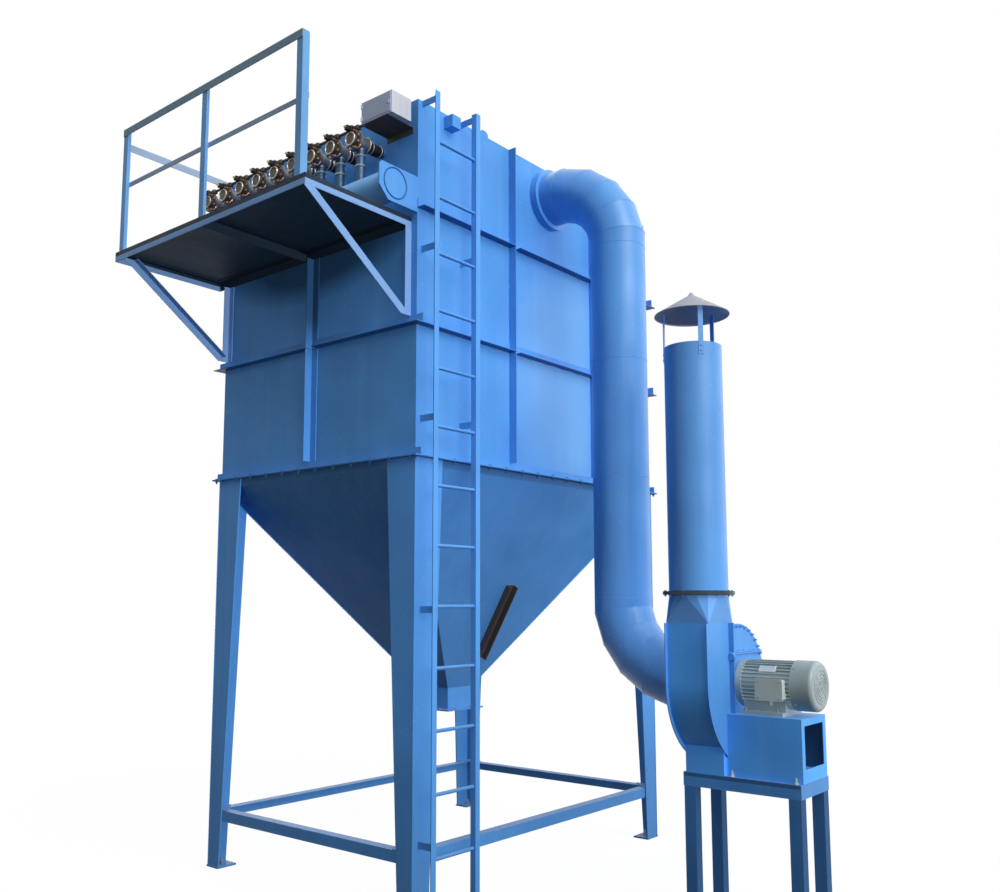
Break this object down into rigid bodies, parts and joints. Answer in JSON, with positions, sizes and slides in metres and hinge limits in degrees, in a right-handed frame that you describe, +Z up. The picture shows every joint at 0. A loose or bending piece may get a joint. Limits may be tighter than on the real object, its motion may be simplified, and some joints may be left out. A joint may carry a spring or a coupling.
{
  "type": "pulse jet bag filter dust collector",
  "caption": "Blue plate-steel bag filter dust collector on legs with a pyramid hopper, ladder, platform, pulse valves, duct, fan and stack; it cleans dusty air.",
  "frame": {"origin": "on the ground under the middle of the whole plant's box", "axes": "+Z up, -Y is the platform side, +X is the side of the fan and stack"},
  "size_m": [3.955, 3.615, 5.025],
  "materials": {
    "blue_paint": "bright blue enamel on plate steel, satin",
    "dark_deck": "dark blue painted floor plate, worn",
    "weathered_steel": "dark weathered steel",
    "valve_aluminium": "die cast aluminium, dull",
    "control_grey": "pale grey enamel",
    "cap_steel": "grey blue paint, faded on top",
    "motor_grey": "grey green machine enamel on cast iron"
  },
  "bodies": {
    "root": {"front_legs": "blue_paint", "rear_legs": "blue_paint", "tie_bars": "blue_paint", "hopper_end_plates": "blue_paint", "hopper_side_plates": "blue_paint", "outlet_spout": "blue_paint", "vibrator_channel": "weathered_steel", "hopper_flange": "blue_paint", "housing_flange": "blue_paint", "front_wall": "blue_paint", "rear_wall": "blue_paint", "left_wall": "blue_paint", "right_wall": "blue_paint", "roof": "blue_paint", "front_ribs": "blue_paint", "rear_ribs": "blue_paint", "side_ribs": "blue_paint", "dust_inlet": "blue_paint", "deck_plate": "dark_deck", "deck_frame": "blue_paint", "platform_brackets": "blue_paint", "railing_posts": "blue_paint", "railing_bars": "blue_paint", "header_tank": "blue_paint", "header_end_plates": "blue_paint", "pulse_valves": "valve_aluminium", "blow_pipes": "blue_paint", "control_box": "control_grey", "control_bracket": "weathered_steel", "ladder_stiles": "blue_paint", "ladder_rungs": "blue_paint", "ladder_stays": "blue_paint", "lifting_stubs": "blue_paint", "duct_upper_bend": "blue_paint", "duct_riser": "blue_paint", "duct_lower_bend": "blue_paint", "fan_scroll": "blue_paint", "fan_side_plates": "blue_paint", "fan_saddle": "blue_paint", "throat_transition": "blue_paint", "stack": "blue_paint", "rain_cap": "cap_steel", "cap_struts": "blue_paint", "motor": "motor_grey", "motor_cowl": "motor_grey", "terminal_box": "motor_grey", "motor_pedestal": "blue_paint", "fan_base_frame": "blue_paint", "fan_base_posts": "blue_paint"}
  },
  "joints": []
}
